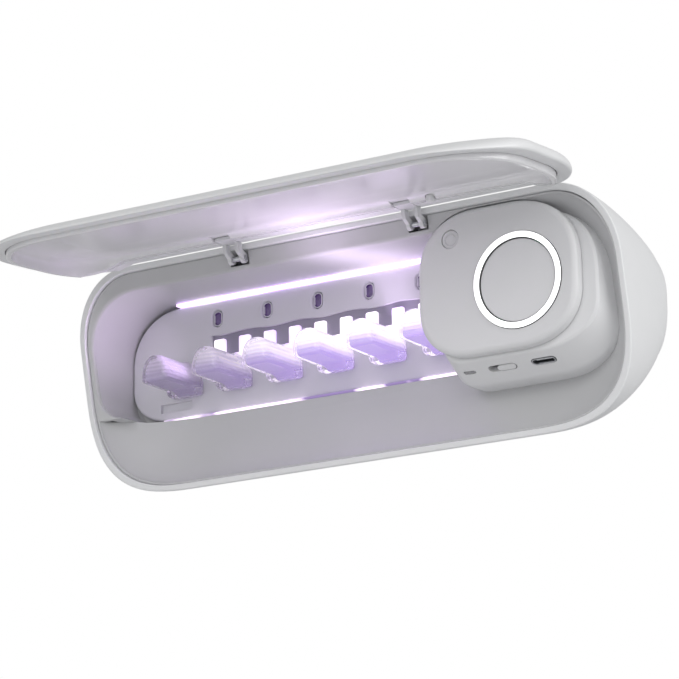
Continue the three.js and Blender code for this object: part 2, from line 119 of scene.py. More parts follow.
floor_paint = bpy.data.materials.new("pale_floor")
floor_paint.use_nodes = True
floor_paint.node_tree.nodes["Principled BSDF"].inputs["Base Color"].default_value = (0.85, 0.85, 0.86, 1)
floor_paint.node_tree.nodes["Principled BSDF"].inputs["Roughness"].default_value = 0.7
floor_mesh.materials.append(floor_paint)

# ---- Outer shell ----
# One white ABS moulding with a fine eggshell grain. Its front rim leans forward at the top; the walls
# bow in towards the flat back, which has a shallow bed for the wall pad and four sunk screw holes.
RIM_Y, TILT = -40.0, 0.206
CASE_W, CASE_H, WALL = 232.0, 86.7, 2.2
TOP_CORNER, LOW_CORNER = (25.7, 29, 2.12), (43.3, 42.8, 3)
SCREWS = [(-96, 20), (-96, -4), (34, 26.5), (34, -11.2)]


def rounded_outline(x0, x1, z0, z1, corners, steps=22):
    t = np.linspace(0, math.pi / 2, steps + 1)
    points = []
    for cx, cz, sx, sz, (a, b, p), turned in zip((x1, x0, x0, x1), (z1, z1, z0, z0), (-1, 1, 1, -1),
                                                 (-1, -1, 1, 1), corners, (0, 1, 0, 1)):
        s = t[::-1] if turned else t
        across, up = np.cos(s).clip(0) ** (2 / p), np.sin(s).clip(0) ** (2 / p)
        points.append(np.column_stack([cx + sx * a * (1 - across), cz + sz * b * (1 - up)]))
    return np.vstack(points)


def case_ring(share, inset, back=0.0, depth=36.3, steps=26):
    k = 1 - (1 - share ** 1.38) ** (1 / 1.38)
    side, top, low = 2.9 * k + inset, 10.9 * k + inset, 19.3 * k + inset
    fit = min(1, (CASE_H - top - low) / (TOP_CORNER[1] + LOW_CORNER[1] - 0.45 * (top + low)))
    tc, lc = [(max(a - side * 0.45, 3), max(b - v * 0.45, 3) * fit, p)
              for (a, b, p), v in ((TOP_CORNER, top), (LOW_CORNER, low))]
    xz = rounded_outline(-CASE_W / 2 + side, CASE_W / 2 - side, -CASE_H / 2 + low, CASE_H / 2 - top,
                         (tc, tc, lc, lc), steps)
    lean = TILT * (1 - share)
    return np.column_stack([xz[:, 0], RIM_Y + share * depth + back - xz[:, 1] * math.sin(lean),
                            xz[:, 1] * math.cos(lean)])


def flat_ring(xz, y):
    return np.column_stack([xz[:, 0], np.full(len(xz), y), xz[:, 1]])


def add_piece(name, points, faces):
    mesh = bpy.data.meshes.new(name)
    mesh.from_pydata([tuple(p) for p in np.asarray(points, float) * MM], [], faces)
    built = bmesh.new()
    built.from_mesh(mesh)
    bmesh.ops.remove_doubles(built, verts=built.verts, dist=2e-6)
    bmesh.ops.dissolve_degenerate(built, edges=built.edges, dist=1e-6)
    bmesh.ops.recalc_face_normals(built, faces=built.faces)
    if built.calc_volume(signed=True) < 0:
        bmesh.ops.reverse_faces(built, faces=built.faces)
    built.to_mesh(mesh)
    built.free()
    piece = bpy.data.objects.new(name, mesh)
    scene.collection.objects.link(piece)
    return piece


def skin(name, rings):
    n = len(rings[0])
    faces = [(r * n + i, r * n + (i + 1) % n, (r + 1) * n + (i + 1) % n, (r + 1) * n + i)
             for r in range(len(rings) - 1) for i in range(n)]
    faces += [tuple(range(n)), tuple(range((len(rings) - 1) * n, len(rings) * n))]
    return add_piece(name, np.vstack(rings), faces)


def settle(piece):
    """Makes what the piece's modifiers show its own mesh."""
    bpy.context.view_layer.update()
    shown = bpy.data.meshes.new_from_object(piece.evaluated_get(bpy.context.evaluated_depsgraph_get()))
    piece.modifiers.clear()
    piece.data = shown
    return piece


def carve(piece, tools, how="DIFFERENCE"):
    for tool in tools:
        cut = piece.modifiers.new("cut", "BOOLEAN")
        cut.operation, cut.solver, cut.object = how, "MANIFOLD", tool
        settle(piece)
        bpy.data.objects.remove(tool)
    return piece


def soften(piece, edge=0.0, sharp=32, segments=2):
    """Small moulded radii on the sharp edges, then smooth shading up to the edges that stay sharp."""
    if edge:
        radius = piece.modifiers.new("radius", "BEVEL")
        radius.width, radius.segments = edge * MM, segments
        radius.limit_method, radius.angle_limit = "ANGLE", math.radians(sharp)
        settle(piece)
    piece.data.shade_smooth()
    piece.data.set_sharp_from_angle(angle=math.radians(sharp + 8))
    even = piece.modifiers.new("even_shading", "WEIGHTED_NORMAL")
    even.keep_sharp = True
    return settle(piece)


def stacked(name, outline_at, levels, start=0.0):
    """Skin through flat outlines along Y; each level is (y from the start, inset)."""
    return skin(name, [flat_ring(outline_at(e), start + y) for y, e in levels])


def rod_y(name, x, z, radius, y0, y1, steps=48, tip=None):
    a = np.linspace(0, 2 * math.pi, steps, endpoint=False)
    return skin(name, [flat_ring(np.column_stack([x + r * np.cos(a), z + r * np.sin(a)]), y)
                       for y, r in ((y0, radius), (y1, radius if tip is None else tip))])


def block(x0, x1, y0, y1, z0, z1):
    corners = [(x, y, z) for x in (x0, x1) for y in (y0, y1) for z in (z0, z1)]
    return add_piece("cutter", corners, [(0, 1, 3, 2), (4, 6, 7, 5), (0, 4, 5, 1), (2, 3, 7, 6),
                                         (0, 2, 6, 4), (1, 5, 7, 3)])


DEPTH_STEPS = [1 - (1 - s) ** 1.7 for s in np.linspace(0.05, 1, 26)]


def back_round(inset, depth, r, steps=10):
    return [case_ring(1, inset + r * (1 - math.cos(a)), r * math.sin(a), depth)
            for a in np.linspace(0, math.pi / 2, steps + 1)[1:]]


def pad_outline(e, steps=10):
    return rounded_outline(-72 + e, 72 - e, -7 + e, 20 - e, [(8, 8, 2)] * 4, steps)


quarter = np.linspace(0, math.pi / 2, 7)
inside = [case_ring(s, WALL, 0, 35) for s in DEPTH_STEPS] + back_round(WALL, 35, 2.3)
shell = skin("shell_moulding", inside[::-1]
             + [case_ring(0, WALL - 0.4 * (1 - math.cos(a)), 0.4 * (1 - math.sin(a))) for a in quarter]
             + [case_ring(0, 0.5 * (1 - math.sin(a)), 0.5 * (1 - math.cos(a))) for a in quarter]
             + [case_ring(s, 0) for s in DEPTH_STEPS] + back_round(0, 36.3, 3.2))
carve(shell, [skin("cutter", [flat_ring(pad_outline(0), y) for y in (-1.5, 1)])]
      + [rod_y("cutter", x, z, r, y, 1) for x, z in SCREWS for r, y in ((1.6, -4), (3, -1.8))])
soften(shell)


def moulded_surface_group():
    """Slight clouding of the tone, uneven polish, fine mould grain and a few soft flow marks."""
    g = bpy.data.node_groups.new("moulded_surface", "ShaderNodeTree")
    face = g.interface
    colour, value = "NodeSocketColor", "NodeSocketFloat"
    for label, kind, usual in (("Tone", colour, (0.8, 0.8, 0.8, 1)),
                               ("Deep Tone", colour, (0.7, 0.7, 0.7, 1)),
                               ("Cloud Scale", value, 30), ("Grain Scale", value, 5000),
                               ("Polish", value, 0.4), ("Polish Spread", value, 0.06)):
        face.new_socket(name=label, in_out="INPUT", socket_type=kind).default_value = usual
    for label, kind in (("Color", colour), ("Roughness", value), ("Height", value)):
        face.new_socket(name=label, in_out="OUTPUT", socket_type=kind)
    given, out = g.nodes.new("NodeGroupInput"), g.nodes.new("NodeGroupOutput")
    place = g.nodes.new("ShaderNodeTexCoord")
    cloud, grain, flow = [g.nodes.new("ShaderNodeTexNoise") for _ in range(3)]
    for noise, detail in ((cloud, 4), (grain, 2), (flow, 6)):
        noise.inputs["Detail"].default_value = detail
        g.links.new(place.outputs["Object"], noise.inputs["Vector"])
    flow.inputs["Scale"].default_value = 140
    g.links.new(given.outputs["Cloud Scale"], cloud.inputs["Scale"])
    g.links.new(given.outputs["Grain Scale"], grain.inputs["Scale"])
    tone = g.nodes.new("ShaderNodeMix")
    tone.data_type = "RGBA"
    spread = g.nodes.new("ShaderNodeMapRange")
    spread.inputs["From Min"].default_value, spread.inputs["From Max"].default_value = 0.3, 0.75
    g.links.new(cloud.outputs["Fac"], spread.inputs["Value"])
    g.links.new(spread.outputs["Result"], tone.inputs["Factor"])
    g.links.new(given.outputs["Tone"], tone.inputs["A"])
    g.links.new(given.outputs["Deep Tone"], tone.inputs["B"])
    g.links.new(tone.outputs["Result"], out.inputs["Color"])
    centred = g.nodes.new("ShaderNodeMath")
    centred.operation = "SUBTRACT"
    centred.inputs[1].default_value = 0.5
    g.links.new(flow.outputs["Fac"], centred.inputs[0])
    polish = g.nodes.new("ShaderNodeMath")
    polish.operation = "MULTIPLY_ADD"
    g.links.new(centred.outputs[0], polish.inputs[0])
    g.links.new(given.outputs["Polish Spread"], polish.inputs[1])
    g.links.new(given.outputs["Polish"], polish.inputs[2])
    g.links.new(polish.outputs[0], out.inputs["Roughness"])
    height = g.nodes.new("ShaderNodeMath")
    height.operation = "MULTIPLY_ADD"
    height.inputs[1].default_value = 0.25
    g.links.new(flow.outputs["Fac"], height.inputs[0])
    g.links.new(grain.outputs["Fac"], height.inputs[2])
    g.links.new(height.outputs[0], out.inputs["Height"])
    return g


moulded_surface = moulded_surface_group()


def moulded_plastic(name, tone, deep, polish, grain=5000, relief=0.02, cloud=30, coat=0.0, spread=0.06):
    m = bpy.data.materials.new(name)
    m.use_nodes = True
    tree = m.node_tree
    gloss = tree.nodes["Principled BSDF"]
    surface = tree.nodes.new("ShaderNodeGroup")
    surface.node_tree = moulded_surface
    surface.inputs["Tone"].default_value = (*tone, 1)
    surface.inputs["Deep Tone"].default_value = (*deep, 1)
    surface.inputs["Cloud Scale"].default_value = cloud
    surface.inputs["Grain Scale"].default_value = grain
    surface.inputs["Polish"].default_value = polish
    surface.inputs["Polish Spread"].default_value = spread
    bump = tree.nodes.new("ShaderNodeBump")
    bump.inputs["Strength"].default_value = 0.35
    bump.inputs["Distance"].default_value = relief * MM
    tree.links.new(surface.outputs["Color"], gloss.inputs["Base Color"])
    tree.links.new(surface.outputs["Roughness"], gloss.inputs["Roughness"])
    tree.links.new(surface.outputs["Height"], bump.inputs["Height"])
    tree.links.new(bump.outputs["Normal"], gloss.inputs["Normal"])
    gloss.inputs["IOR"].default_value = 1.5
    gloss.inputs["Coat Weight"].default_value = coat
    gloss.inputs["Coat Roughness"].default_value = 0.2
    return m


def fit(piece, body, slot, node_names, *finishes):
    piece.data.materials.clear()
    for finish in finishes:
        piece.data.materials.append(finish)
    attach(piece, body)
    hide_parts(*node_names)


shell_white = moulded_plastic("shell_white", (0.83, 0.835, 0.84), (0.80, 0.805, 0.812), 0.36, relief=0.03)
fit(shell, "case", "shell_white", ["outer_shell"], shell_white)

# ---- Wall pad ----
# A strip of grey closed-cell foam, stuck in the bed of the back; it holds the case half a millimetre
# off the tiles. Its edge is slightly crushed and its face shows the cut cells.
pad = stacked("foam_pad", pad_outline, (
    (-1.2, 0.9), (-1.1, 0.5), (-0.9, 0.3), (-0.5, 0.3), (-0.3, 0.34), (-0.12, 0.5), (0, 0.8)))
soften(pad)
pad_foam = bpy.data.materials.new("pad_foam")
pad_foam.use_nodes = True
foam = pad_foam.node_tree
cells = foam.nodes.new("ShaderNodeTexVoronoi")
cells.inputs["Scale"].default_value = 1400
foam_place = foam.nodes.new("ShaderNodeTexCoord")
foam_tone = foam.nodes.new("ShaderNodeValToRGB")
foam_tone.color_ramp.elements[0].color = (0.16, 0.165, 0.17, 1)
foam_tone.color_ramp.elements[1].color = (0.34, 0.345, 0.35, 1)
foam_bump = foam.nodes.new("ShaderNodeBump")
foam_bump.inputs["Distance"].default_value = 0.15 * MM
foam.links.new(foam_place.outputs["Object"], cells.inputs["Vector"])
foam.links.new(cells.outputs["Distance"], foam_tone.inputs["Fac"])
foam.links.new(cells.outputs["Distance"], foam_bump.inputs["Height"])
foam.links.new(foam_tone.outputs["Color"], foam.nodes["Principled BSDF"].inputs["Base Color"])
foam.links.new(foam_bump.outputs["Normal"], foam.nodes["Principled BSDF"].inputs["Normal"])
foam.nodes["Principled BSDF"].inputs["Roughness"].default_value = 0.9
fit(pad, "case", "pad_foam", ["wall_pad"], pad_foam)

# ---- Inner tray ----
# The second big moulding, satin and a little greyer than the shell, with its grey set darker still as painted
# shade for the lid's shadow over the band and scoop. It clips inside the shell's rim and forms the front
# band, the chamber's walls and the scoop under the rack, with two slots for the hinge forks.
FLOOR_Y, PLATE_Y = RIM_Y + 24.6, RIM_Y + 21
CLAWS = (-40.5, 36.7)
POCKET = [(-16, 0), (-1, 0), (3, 0.3), (8, 0.9), (13, 1.7), (17, 2.2), (21, 2.5), (23.6, 2.8), (24.6, 3.8)]
SCOOP = [(3.1, -3), (3.1, 1.2), (3.5, 2.3), (4.2, 3.2), (5.2, 4.4), (6.4, 5.6), (7.8, 6.8), (9.4, 8),
         (11.4, 9.4), (13.6, 10.6), (16.2, 12), (19, 13.2), (21.8, 14.3), (24.5, 15.2), (29, 16.4)]


def pocket_outline(e, flare=0.0, x1=60):
    return rounded_outline(-111.3 + e - flare, x1, -13, 33.5 + flare,
                           [(2, 2, 2), (24 - e / 2, 22, 2.2), (15 - e / 2, 10, 2.2), (2, 2, 2)])


def pocket_back(e):
    return rounded_outline(-113.1 + e, 61.8, -14.8, 35.2,
                           [(3, 3, 2), (25 - e / 2, 23, 2.2), (16 - e / 2, 11, 2.2), (3, 3, 2)])


def on_rim_plane(xz, back):
    return np.column_stack([xz[:, 0], RIM_Y + back - xz[:, 1] * math.tan(TILT), xz[:, 1]])


def scoop(e, back):
    hollow = skin("cutter", [case_ring(0, i - e, d + back) for i, d in SCOOP])
    zone = carve(block(-130, 70, -80, 0, -50, -12.4), [block(60, 130, -80, 0, -50, 50)], "UNION")
    return carve(hollow, [zone], "INTERSECT")


def case_inside(inset, front):
    return skin("cutter", [case_ring(0, inset, front)]
                + [case_ring(s, inset, 0, 35) for s in DEPTH_STEPS if s > 0.115]
                + back_round(inset, 35, 2.3))


BASE_CORNERS = ((27, 26, 2.3), (22, 20, 2.2), (9, 7, 2.2), (26, 17, 2.3))


def base_outline(x0, x1, z0, z1, e, steps=18):
    return rounded_outline(x0 + e, x1 - e, z0 + e, z1 - e,
                           [(a - e, b - e, p) for a, b, p in BASE_CORNERS], steps)


BASE = [(-3, (44.4, 105.8, -15.2, 35.2), 0.5), (-2.7, (44.1, 106.1, -15.5, 35.4), 0.25),
        (-2.2, (43.8, 106.6, -16, 35.6), 0.1), (7.2, (43.2, 108.55, -21.0, 35.6), 0),
        (8.2, (43.2, 108.7, -21.5, 35.6), 0.02), (9.2, (43.2, 108.8, -21.8, 35.6), 0.08),
        (11, (43.2, 108.8, -21.9, 35.6), 0.1), (21, (43.2, 108.8, -21.9, 35.6), 0.4)]


def base_block(e, front=0.0, extra=0.0):
    shifts = [front] + [0] * (len(BASE) - 2) + [extra]
    return skin("cutter", [flat_ring(base_outline(*s, i + e), RIM_Y + y + shift)
                           for (y, s, i), shift in zip(BASE, shifts)])


def cover_outline(e, steps=22):
    return rounded_outline(36.5 + e, 100.6 - e, -14.3 + e, 39.3 - e,
                           [(a - e, b - e, 2.2) for a, b in ((27, 24), (24, 22), (21, 19), (24, 20))], steps)


limits = case_inside(WALL + 0.3, 1.5)
limits.name = "tray_limits"


def copy_of(piece):
    twin = piece.copy()
    twin.data = piece.data.copy()
    scene.collection.objects.link(twin)
    return twin


band = carve(copy_of(limits), [case_inside(WALL + 2.1, 3.5)])
carve(band, [block(-130, 130, -80, RIM_Y + 11, -60, 60)], "INTERSECT")
walls = skin("cutter", [flat_ring(pocket_back(e), RIM_Y + (y if k else -8) + (1.8 if y > 22 else 0))
                        for k, (y, e) in enumerate(POCKET)])
carve(walls, [scoop(1.8, 1.4)], "UNION")
carve(walls, [copy_of(limits), block(-130, 130, -80, FLOOR_Y + 1.8, -60, 60)], "INTERSECT")
tray = carve(band, [walls], "UNION")
tray.name = "inner_tray"
for x, z in SCREWS:
    post = carve(rod_y("cutter", x, z, 3.4, FLOOR_Y + 1, -3.1), [copy_of(limits)], "INTERSECT")
    carve(tray, [post], "UNION")
bpy.data.objects.remove(limits)
mouth_round = 1.1
carve(tray, [
    stacked("cutter", pocket_outline, POCKET, RIM_Y),
    skin("cutter", [on_rim_plane(pocket_outline(0, mouth_round), -3)] + [
        on_rim_plane(pocket_outline(0, mouth_round * (1 - math.sin(a))),
                     1.5 + mouth_round * (1 - math.cos(a)))
        for a in quarter]),
    scoop(0, 0), base_block(0.15, -3, 6),
    skin("cutter", [flat_ring(cover_outline(-0.3), y) for y in (RIM_Y - 12, RIM_Y - 2.7)]),
    *[block(x - 4.2, x + 4.2, RIM_Y - 14, RIM_Y + 1.5, 35, 45) for x in CLAWS],
    *[rod_y("cutter", x, z, 1.5, -14, 0) for x, z in SCREWS]])
soften(tray, 0.35)
# The tray's own slightly greyer tone, darkened further as painted shade for the shadow the lid casts into the
# tray.
tray_grey_and_painted_shade = moulded_plastic("tray_grey_and_painted_shade", (0.58, 0.582, 0.588), (0.555, 0.557, 0.564), 0.42,
                            grain=6500, relief=0.025)
fit(tray, "case", "tray_plastic", ["front_tray"], tray_grey_and_painted_shade)

# ---- Rack plate ----
# A pale satin plate that closes the chamber's rear wall. It has five bevelled lamp windows and, behind the
# supports, a recess whose upper edge waves once per brush place; its floor is painted dark violet as a
# painted shadow. Clips hold it from behind.
FIRST_FINGER, PITCH = -82.3, 22.6
RACK_END, RECESS_X, RECESS_LOW = 42.7, -72.0, 5.2
LAMP_XS, LAMP_Z = [FIRST_FINGER + 13 + i * PITCH for i in range(5)], 25.15


def oval(x, half_w, half_h, r, steps=12):
    return rounded_outline(x - half_w, x + half_w, LAMP_Z - half_h, LAMP_Z + half_h, [(r, r, 2)] * 4, steps)


plate = skin("rack_panel", [
    flat_ring(rounded_outline(-108.3 + e, RACK_END - e, -11.6 + e, 31.8 - e,
                              [(1.5, 1.5, 2), (22, 21, 2.1), (17, 13, 2.1), (1.5, 1.5, 2)]), PLATE_Y + y)
    for y, e in ((0, 0.7), (0.05, 0.42), (0.2, 0.18), (0.42, 0.04), (0.7, 0), (2.2, 0))])
wave_x = np.linspace(RACK_END + 1, RECESS_X, 110)
wave_z = 18.85 + 0.35 * np.cos((wave_x - FIRST_FINGER - 4.2) / PITCH * 2 * math.pi)
wave = np.vstack([np.column_stack([wave_x, wave_z]), [[RECESS_X, RECESS_LOW], [RACK_END + 1, RECESS_LOW]]])
carve(plate, [skin("cutter", [flat_ring(wave, PLATE_Y + y) for y in (-1, 1.3)])]
      + [stacked("cutter", lambda e: oval(x, 2.2 - e, 3.2 - e, 2.1 - e), ((-1, 0), (3, 0)), PLATE_Y)
         for x in LAMP_XS]
      + [stacked("cutter", lambda e: oval(x, 2.8 - e, 3.8 - e, 2.7 - e),
                 ((-0.5, -0.5), (0, 0), (0.2, 0.3), (0.6, 0.52), (1, 0.6)), PLATE_Y) for x in LAMP_XS]
      + [block(-95.5, -81, PLATE_Y - 1, PLATE_Y + 1.2, -8.6, -5.2)])
soften(plate, 0.14)
rack_pale = moulded_plastic("rack_pale", (0.72, 0.71, 0.755), (0.69, 0.68, 0.73), 0.36,
                            grain=7000, relief=0.02)
# Painted shadow: a dark violet for the recess floor, standing in for the shade below the wavy edge.
recess_painted_shadow = moulded_plastic("recess_painted_shadow", (0.33, 0.31, 0.38), (0.27, 0.25, 0.33), 0.25, relief=0.01)
fit(plate, "case", "rack_plastic", ["rack_plate"], rack_pale, recess_painted_shadow)
# The faces of the recess floor take the dark violet painted shadow.
for face in plate.data.polygons:
    c = face.center / MM
    if abs(c.y - PLATE_Y - 1.3) < 0.08 and c.x > RECESS_X - 0.5 and c.z > 5:
        face.material_index = 1

# ---- Lamp windows ----
# Five small ultraviolet lamps behind oval windows: a pale pressed collar around a dark quartz lens that
# glows faint violet. Each is pushed in from behind the plate.


def shader_nodes(tree, *kinds):
    return [tree.nodes.new("ShaderNode" + kind) for kind in kinds]


quartz = bpy.data.materials.new("violet_quartz")
quartz.use_nodes = True
q = quartz.node_tree
q_shader = q.nodes["Principled BSDF"]
q_place, q_cloud, q_tone = shader_nodes(q, "TexCoord", "TexNoise", "ValToRGB")
q_cloud.inputs["Scale"].default_value = 700
q_tone.color_ramp.elements[0].color = (0.035, 0.02, 0.07, 1)
q_tone.color_ramp.elements[1].color = (0.16, 0.09, 0.28, 1)
q.links.new(q_place.outputs["Object"], q_cloud.inputs["Vector"])
q.links.new(q_cloud.outputs["Fac"], q_tone.inputs["Fac"])
q.links.new(q_tone.outputs["Color"], q_shader.inputs["Base Color"])
q.links.new(q_tone.outputs["Color"], q_shader.inputs["Emission Color"])
q_shader.inputs["Emission Strength"].default_value = 0.2
q_shader.inputs["Roughness"].default_value = 0.08
q_shader.inputs["Coat Weight"].default_value = 1.0
collar_white = moulded_plastic("collar_white", (0.80, 0.78, 0.84), (0.77, 0.75, 0.82), 0.28, relief=0.01)
LAMP_LEVELS = ((2.2, 0), (0.7, 0), (0.62, 0.08), (0.62, 0.3), (0.7, 0.38), (1.35, 0.44), (1.2, 0.8),
               (1.1, 1.2), (1.07, 1.6))
for i, x in enumerate(LAMP_XS):
    lamp = stacked(f"lamp_window_{i + 1}", lambda e: oval(x, 1.9 - e, 2.9 - e, 1.8 - e), LAMP_LEVELS, PLATE_Y)
    soften(lamp)
    fit(lamp, "case", "lamp_window", [f"uv_lamp_{i + 1}"], collar_white, quartz)
    for face in lamp.data.polygons:
        c = face.center / MM
        face.material_index = int(abs(c.x - x) < 1.44 and 1.0 < c.y - PLATE_Y < 1.4)

# ---- Lit comb ----
# One frosted acrylic bar with a tab at every half place, edge-lit from the lamp board. The tabs carry
# the light into the brush supports, and glow white between them.


def lit_plastic(name, core, rim, strength, polish=0.35, patches=90, spread=(0.3, 0.65)):
    """Milky plastic with light behind it: the glow wanders between two colours over its length."""
    m = bpy.data.materials.new(name)
    m.use_nodes = True
    tree = m.node_tree
    shader = tree.nodes["Principled BSDF"]
    place, cloud, ramp = shader_nodes(tree, "TexCoord", "TexNoise", "ValToRGB")
    cloud.inputs["Scale"].default_value = patches
    cloud.inputs["Detail"].default_value = 1.5
    ramp.color_ramp.elements[0].position, ramp.color_ramp.elements[1].position = spread
    ramp.color_ramp.elements[0].color, ramp.color_ramp.elements[1].color = (*rim, 1), (*core, 1)
    tree.links.new(place.outputs["Object"], cloud.inputs["Vector"])
    tree.links.new(cloud.outputs["Fac"], ramp.inputs["Fac"])
    tree.links.new(ramp.outputs["Color"], shader.inputs["Emission Color"])
    tree.links.new(ramp.outputs["Color"], shader.inputs["Base Color"])
    shader.inputs["Emission Strength"].default_value = strength
    shader.inputs["Roughness"].default_value = polish
    return m


comb = block(RECESS_X + 0.3, RACK_END - 0.4, PLATE_Y + 0.1, PLATE_Y + 1, RECESS_LOW + 0.3, 10.5)
comb.name = "lit_comb"
tab_xs = [FIRST_FINGER + 2.9 + i * PITCH / 2 for i in range(1, 11)]
TAB_LEVELS = ((-0.4, 0.3), (-0.36, 0.15), (-0.25, 0.03), (0, 0), (1, 0))


def tab_outline(x, e):
    return rounded_outline(x - 2.45 + e, x + 2.45 - e, 7, 16.7 - e, [(0.7, 0.7, 2)] * 4, 5)


carve(comb, [stacked("cutter", lambda e: tab_outline(x, e), TAB_LEVELS, PLATE_Y) for x in tab_xs], "UNION")
soften(comb, 0.1)
comb_glow = lit_plastic("comb_glow", (1, 0.95, 1), (0.80, 0.62, 1), 0.8)
fit(comb, "case", "clear_plastic", ["comb_rail"], comb_glow)

# ---- Light bars ----
# Two thin diffusers along the plate's upper and lower edge. The upper one washes the chamber's roof and
# the lid with violet-white light; the lower one is cut from the same bar and lights unevenly.
BAR_LEVELS = ((-1.9, 0.25), (-1.86, 0.16), (-1.75, 0.05), (-1.6, 0), (1.2, 0))
for bar_name, node_name, (x0, x1, z0, z1), glow in (
        ("upper_light_bar", "upper_light_strip", (-87, RACK_END - 0.5, 32.1, 33.2),
         lit_plastic("upper_glow", (0.92, 0.78, 1), (0.72, 0.52, 1), 1.5, patches=60)),
        ("lower_light_bar", "lower_light_strip", (-93, RACK_END - 0.5, -12.75, -11.9),
         lit_plastic("lower_glow", (0.98, 0.84, 1), (0.2, 0.15, 0.3), 1.0, patches=70, spread=(0.42, 0.52)))):
    bar = stacked(bar_name, lambda e: rounded_outline(
        x0 + e, x1 - e, z0 + e, z1 - e, [(0.28 - e * 0.5, 0.28 - e * 0.5, 2)] * 4, 4), BAR_LEVELS, PLATE_Y)
    soften(bar)
    fit(bar, "case", "lit_diffuser", [node_name], glow)

# ---- Brush supports ----
# Six clear acrylic fingers, hollow from behind, with a frosted core that carries the comb's light. The glow
# of the core and the shell is painted light, brighter towards the rack's right end and a darker violet
# towards the sole. The front is a rounded D, the sole is flat, and the foot widens into a flange against the
# plate.
FINGER_LEN = 24
FINGER = [(0, 1.9, 0), (0.05, 1.6, 0), (0.2, 1.2, 0), (0.45, 0.82, 0), (0.8, 0.5, 0), (1.2, 0.28, 0),
          (1.8, 0.1, 0), (2.6, 0, 0), (9, 0, 0.05), (16.5, 0, 0.15), (17.2, -0.12, 0.35), (18, -0.45, 0.75),
          (18.8, -0.7, 1.0), (19.6, -0.83, 1.12), (22.7, -0.9, 1.2), (23.2, -0.75, 1.2), (23.5, -0.5, 1.2)]


def finger_outline(x, e, drop, steps=14):
    crown, sole = (5.4 - e, 8.6 - 1.6 * e, 2.1), (max(1.1 - 0.4 * e, 0.3), max(1.1 - 0.4 * e, 0.3), 2)
    return rounded_outline(x - 6 + e, x + 6 - e, -2.2 + e - drop, 8.2 - e, [crown, crown, sole, sole], steps)


def finger_material(name, clear):
    """Painted light: the glow grows from the rack's dark left end to its lit right end and fades to a darker
    violet at the sole.
    """
    m = bpy.data.materials.new(name)
    m.use_nodes = True
    tree = m.node_tree
    shader = tree.nodes["Principled BSDF"]
    place = tree.nodes.new("ShaderNodeTexCoord")
    apart = tree.nodes.new("ShaderNodeSeparateXYZ")
    tree.links.new(place.outputs["Object"], apart.inputs[0])
    # Painted light: these ramps make the emission brighter towards the rack's right end and towards the top,
    # and a darker violet at the sole.
    along, up = tree.nodes.new("ShaderNodeMapRange"), tree.nodes.new("ShaderNodeMapRange")
    along.interpolation_type = up.interpolation_type = "SMOOTHSTEP"
    for node, axis, low, high, least in ((along, "X", -85, -5, 0.16 if clear else 0.12),
                                         (up, "Z", -1.5, 4.5, 0)):
        node.inputs["From Min"].default_value, node.inputs["From Max"].default_value = low * MM, high * MM
        node.inputs["To Min"].default_value = least
        tree.links.new(apart.outputs[axis], node.inputs["Value"])
    tint = tree.nodes.new("ShaderNodeValToRGB")
    tint.color_ramp.elements[0].color = (0.40, 0.27, 0.66, 1) if clear else (0.22, 0.13, 0.45, 1)
    tint.color_ramp.elements[1].color = (1, 0.93, 1, 1)
    tree.links.new(up.outputs["Result"], tint.inputs["Fac"])
    ribs = tree.nodes.new("ShaderNodeTexWave")
    ribs.bands_direction = "Z"
    ribs.inputs["Scale"].default_value = 210
    ribs.inputs["Distortion"].default_value = 1.2
    tree.links.new(place.outputs["Object"], ribs.inputs["Vector"])
    shade = tree.nodes.new("ShaderNodeMath")
    shade.operation = "MULTIPLY_ADD"
    shade.inputs[1].default_value, shade.inputs[2].default_value = 0.3 if not clear else 0.08, 0.72
    tree.links.new(ribs.outputs["Fac"], shade.inputs[0])
    level = tree.nodes.new("ShaderNodeMath")
    level.operation = "MULTIPLY"
    tree.links.new(along.outputs["Result"], level.inputs[0])
    tree.links.new(shade.outputs[0], level.inputs[1])
    lit = tree.nodes.new("ShaderNodeVectorMath")
    lit.operation = "SCALE"
    tree.links.new(tint.outputs["Color"], lit.inputs[0])
    tree.links.new(level.outputs[0], lit.inputs["Scale"])
    tree.links.new(lit.outputs["Vector"], shader.inputs["Emission Color"])
    bump = tree.nodes.new("ShaderNodeBump")
    bump.inputs["Distance"].default_value = (0.02 if clear else 0.2) * MM
    tree.links.new(ribs.outputs["Fac"], bump.inputs["Height"])
    tree.links.new(bump.outputs["Normal"], shader.inputs["Normal"])
    shader.inputs["Base Color"].default_value = (0.97, 0.95, 1, 1) if clear else (0.62, 0.56, 0.72, 1)
    shader.inputs["Emission Strength"].default_value = 0.02 if clear else 1.05
    shader.inputs["Roughness"].default_value = 0.06 if clear else 0.4
    shader.inputs["Transmission Weight"].default_value = 0.96 if clear else 0.1
    shader.inputs["IOR"].default_value = 1.45
    return m


clear_acrylic = finger_material("clear_acrylic", True)
frosted_core = finger_material("frosted_core", False)
for i in range(6):
    x = FIRST_FINGER + i * PITCH
    front = PLATE_Y - FINGER_LEN
    finger = skin(f"clear_finger_{i + 1}",
                  [flat_ring(finger_outline(x, e, d), front + v) for v, e, d in FINGER])
    carve(finger, [stacked("cutter", lambda e: finger_outline(x, e, 0),
                           ((1.7, 2.9), (1.8, 2.4), (2.1, 1.9), (2.7, 1.5), (8, 1.5), (25, 1.5)), front)])
    soften(finger)
    fit(finger, "case", "clear_plastic", [f"brush_finger_{i + 1}"], clear_acrylic, frosted_core)
    for face in finger.data.polygons:
        c, away = face.center / MM, face.normal
        inside_bore = c.y > front + 1.6 and c.y < front + 23.4 and (
            away.x * (c.x - x) + away.z * (c.z - 3) < 0 or (away.y > 0.5 and c.y < front + 5))
        face.material_index = int(inside_bore)

